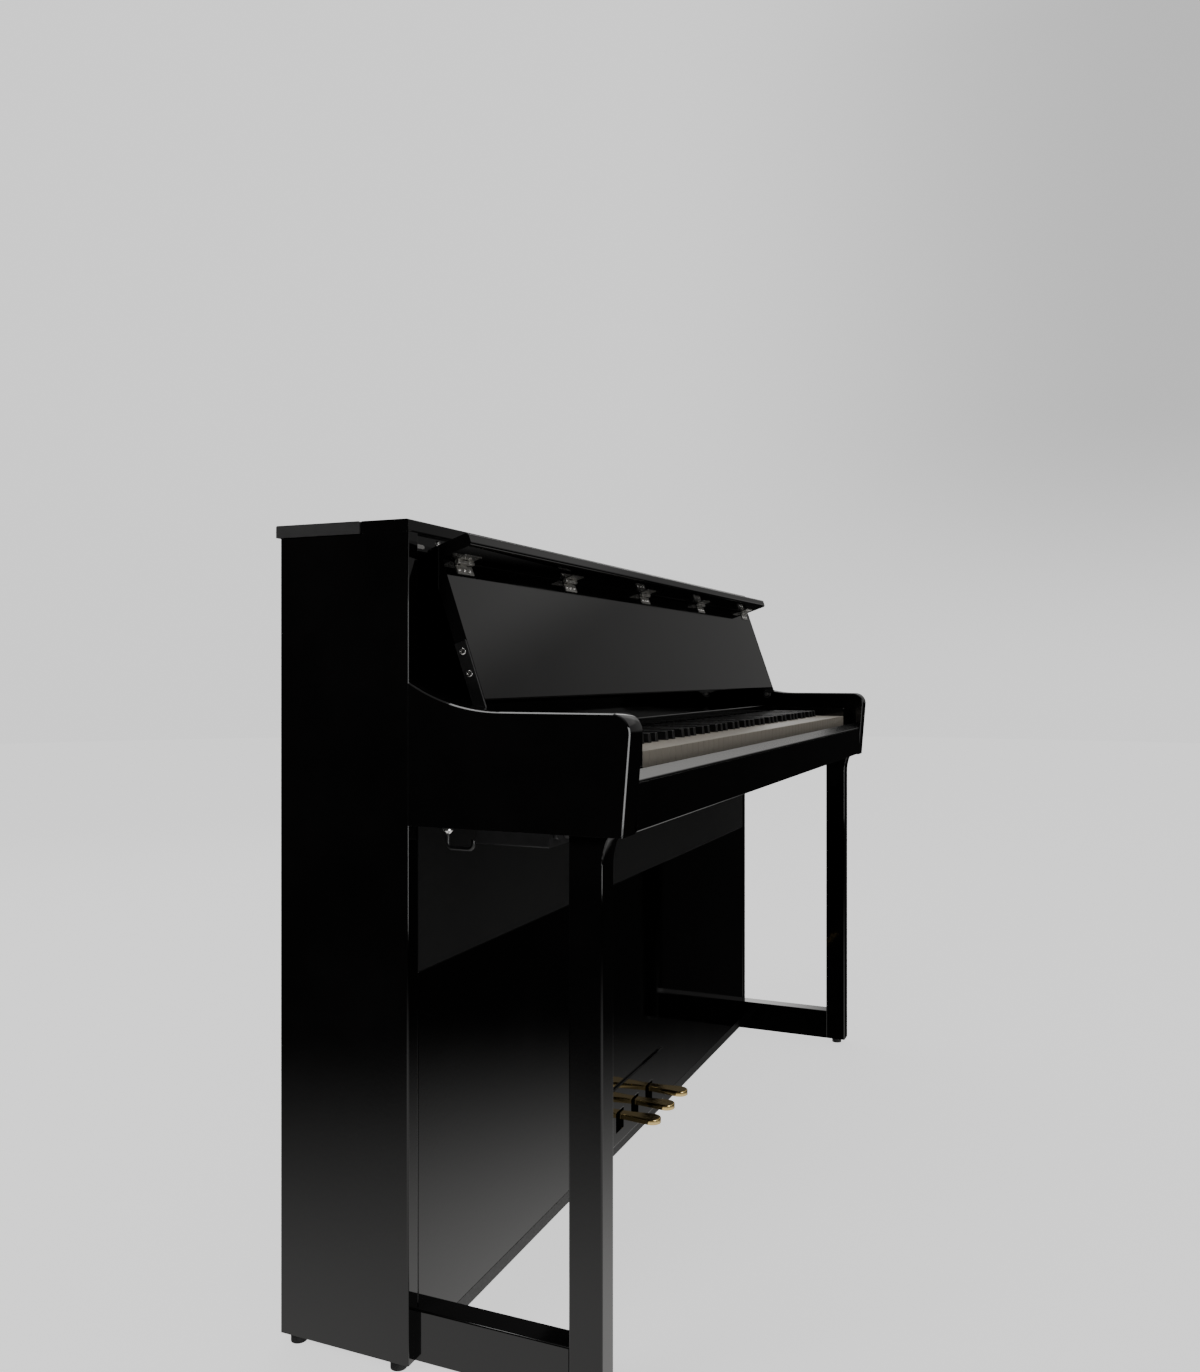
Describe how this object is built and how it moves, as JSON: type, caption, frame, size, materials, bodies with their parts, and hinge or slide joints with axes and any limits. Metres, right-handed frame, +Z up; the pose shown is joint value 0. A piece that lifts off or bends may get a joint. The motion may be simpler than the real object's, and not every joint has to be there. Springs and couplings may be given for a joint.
{
  "type": "upright piano",
  "caption": "Slim upright piano with a black high-gloss case, scooped arms on free-standing front legs, folding-lip fallboard, full keyboard and pedals.",
  "frame": {"origin": "middle of the overall footprint on the floor", "axes": "+X from bass to treble, +Y from the player to the back, +Z up"},
  "size_m": [1.454, 0.4675, 1.003],
  "materials": {
    "case_gloss": "black polyester lacquer polished to a mirror",
    "case_satin": "black satin lacquer",
    "grille_cloth": "fine black speaker cloth",
    "trim_aluminium": "brushed and clear anodised",
    "steel": "satin nickel plated",
    "screw_chrome": "bright plated",
    "rubber_black": "matt",
    "key_ivory": "wooden key stick with an ivory-toned acrylic top",
    "key_ebony": "wooden key stick with a matt black top",
    "frame_spruce": "bare spruce",
    "felt": "pressed wool felt",
    "circuit": "solder-masked board",
    "speaker": "black basket with paper cone",
    "pedal_brass": "polished",
    "moulded_black": "fine texture"
  },
  "bodies": {
    "cabinet": {"ac_inlet": "moulded_black", "apron_baffle": "case_satin", "apron_cloth": "grille_cloth", "arm_left": "case_gloss", "arm_right": "case_gloss", "back_panel": "case_satin", "bottom_board": "case_satin", "cheek_block_left": "case_gloss", "cheek_block_right": "case_gloss", "control_box": "moulded_black", "fallboard_bumpers": "rubber_black", "glides": "rubber_black", "headphone_hook": "steel", "key_felts": "felt", "key_frame": "frame_spruce", "key_pins": "steel", "keybed": "case_satin", "keyslip": "case_gloss", "keyslip_trim": "trim_aluminium", "knee_panel": "case_gloss", "leg_left": "case_gloss", "leg_right": "case_gloss", "lid_hinge_rear_leaves": "steel", "lid_rear": "case_gloss", "name_rail": "case_gloss", "pedal_box": "case_gloss", "pedal_shaft": "steel", "sensor_board": "circuit", "side_panel_left": "case_gloss", "side_panel_right": "case_gloss", "soft_close_dampers": "steel", "toe_rail_left": "case_gloss", "toe_rail_right": "case_gloss", "upper_front_panel": "case_gloss", "woofers": "speaker"},
    "fallboard": {"fallboard": "case_gloss", "fallboard_end_plates": "steel", "fallboard_plate_screws": "screw_chrome", "lip_hinge_board_leaves": "steel"},
    "fallboard_lip": {"fallboard_lip": "case_gloss", "lip_hinge_lip_leaves": "steel"},
    "lid_flap": {"lid_flap": "case_gloss", "lid_hinge_flap_leaves": "steel"},
    "keys_c": {"keys_c": "key_ivory"},
    "keys_c_sharp": {"keys_c_sharp": "key_ebony"},
    "keys_d": {"keys_d": "key_ivory"},
    "keys_d_sharp": {"keys_d_sharp": "key_ebony"},
    "keys_e": {"keys_e": "key_ivory"},
    "keys_f": {"keys_f": "key_ivory"},
    "keys_f_sharp": {"keys_f_sharp": "key_ebony"},
    "keys_g": {"keys_g": "key_ivory"},
    "keys_g_sharp": {"keys_g_sharp": "key_ebony"},
    "keys_a": {"keys_a": "key_ivory"},
    "keys_a_sharp": {"keys_a_sharp": "key_ebony"},
    "keys_b": {"keys_b": "key_ivory"},
    "pedal_soft": {"pedal_soft": "pedal_brass"},
    "pedal_sostenuto": {"pedal_sostenuto": "pedal_brass"},
    "pedal_damper": {"pedal_damper": "pedal_brass"},
    "power_button": {"power_button": "moulded_black"},
    "volume_knob": {"volume_knob": "moulded_black"}
  },
  "joints": [
    {"name": "fallboard_swing", "type": "hinge", "parent": "cabinet", "child": "fallboard", "pos_m": [0, -0.01775, 0.775], "axis": [1, 0, 0], "range_deg": [0, 109]},
    {"name": "lip_fold", "type": "hinge", "parent": "fallboard", "child": "fallboard_lip", "pos_m": [0, 0.02153, 0.95819], "axis": [-1, 0, 0], "range_deg": [-90, 0]},
    {"name": "lid_flap_swing", "type": "hinge", "parent": "cabinet", "child": "lid_flap", "pos_m": [0, 0.10875, 1.001], "axis": [-1, 0, 0], "range_deg": [0, 98]},
    {"name": "key_press_c", "type": "hinge", "parent": "cabinet", "child": "keys_c", "pos_m": [0, 0.01325, 0.706], "axis": [1, 0, 0], "range_deg": [0, 2.6], "stiffness_Nm_per_rad": 6, "springref_deg": -12.61},
    {"name": "key_press_c_sharp", "type": "hinge", "parent": "cabinet", "child": "keys_c_sharp", "pos_m": [0, 0.01325, 0.706], "axis": [1, 0, 0], "range_deg": [0, 2.6], "stiffness_Nm_per_rad": 6, "springref_deg": -12.61},
    {"name": "key_press_d", "type": "hinge", "parent": "cabinet", "child": "keys_d", "pos_m": [0, 0.01325, 0.706], "axis": [1, 0, 0], "range_deg": [0, 2.6], "stiffness_Nm_per_rad": 6, "springref_deg": -12.61},
    {"name": "key_press_d_sharp", "type": "hinge", "parent": "cabinet", "child": "keys_d_sharp", "pos_m": [0, 0.01325, 0.706], "axis": [1, 0, 0], "range_deg": [0, 2.6], "stiffness_Nm_per_rad": 6, "springref_deg": -12.61},
    {"name": "key_press_e", "type": "hinge", "parent": "cabinet", "child": "keys_e", "pos_m": [0, 0.01325, 0.706], "axis": [1, 0, 0], "range_deg": [0, 2.6], "stiffness_Nm_per_rad": 6, "springref_deg": -12.61},
    {"name": "key_press_f", "type": "hinge", "parent": "cabinet", "child": "keys_f", "pos_m": [0, 0.01325, 0.706], "axis": [1, 0, 0], "range_deg": [0, 2.6], "stiffness_Nm_per_rad": 6, "springref_deg": -12.61},
    {"name": "key_press_f_sharp", "type": "hinge", "parent": "cabinet", "child": "keys_f_sharp", "pos_m": [0, 0.01325, 0.706], "axis": [1, 0, 0], "range_deg": [0, 2.6], "stiffness_Nm_per_rad": 6, "springref_deg": -12.61},
    {"name": "key_press_g", "type": "hinge", "parent": "cabinet", "child": "keys_g", "pos_m": [0, 0.01325, 0.706], "axis": [1, 0, 0], "range_deg": [0, 2.6], "stiffness_Nm_per_rad": 6, "springref_deg": -12.61},
    {"name": "key_press_g_sharp", "type": "hinge", "parent": "cabinet", "child": "keys_g_sharp", "pos_m": [0, 0.01325, 0.706], "axis": [1, 0, 0], "range_deg": [0, 2.6], "stiffness_Nm_per_rad": 6, "springref_deg": -12.61},
    {"name": "key_press_a", "type": "hinge", "parent": "cabinet", "child": "keys_a", "pos_m": [0, 0.01325, 0.706], "axis": [1, 0, 0], "range_deg": [0, 2.6], "stiffness_Nm_per_rad": 6, "springref_deg": -12.61},
    {"name": "key_press_a_sharp", "type": "hinge", "parent": "cabinet", "child": "keys_a_sharp", "pos_m": [0, 0.01325, 0.706], "axis": [1, 0, 0], "range_deg": [0, 2.6], "stiffness_Nm_per_rad": 6, "springref_deg": -12.61},
    {"name": "key_press_b", "type": "hinge", "parent": "cabinet", "child": "keys_b", "pos_m": [0, 0.01325, 0.706], "axis": [1, 0, 0], "range_deg": [0, 2.6], "stiffness_Nm_per_rad": 6, "springref_deg": -12.61},
    {"name": "pedal_soft_press", "type": "hinge", "parent": "cabinet", "child": "pedal_soft", "pos_m": [-0.07, 0.11285, 0.075], "axis": [1, 0, 0], "range_deg": [0, 5], "stiffness_Nm_per_rad": 12, "springref_deg": -6.88},
    {"name": "pedal_sostenuto_press", "type": "hinge", "parent": "cabinet", "child": "pedal_sostenuto", "pos_m": [0, 0.11285, 0.075], "axis": [1, 0, 0], "range_deg": [0, 5], "stiffness_Nm_per_rad": 12, "springref_deg": -6.88},
    {"name": "pedal_damper_press", "type": "hinge", "parent": "cabinet", "child": "pedal_damper", "pos_m": [0.07, 0.11285, 0.075], "axis": [1, 0, 0], "range_deg": [0, 5], "stiffness_Nm_per_rad": 12, "springref_deg": -6.88},
    {"name": "power_press", "type": "slide", "parent": "cabinet", "child": "power_button", "axis": [0, 1, 0], "range_m": [0, 0.003], "stiffness_N_per_m": 400, "springref_m": -0.0015},
    {"name": "volume_turn", "type": "hinge", "parent": "cabinet", "child": "volume_knob", "pos_m": [-0.592, -0.09675, 0.628], "axis": [0, -1, 0], "range_deg": [-140, 140]}
  ]
}
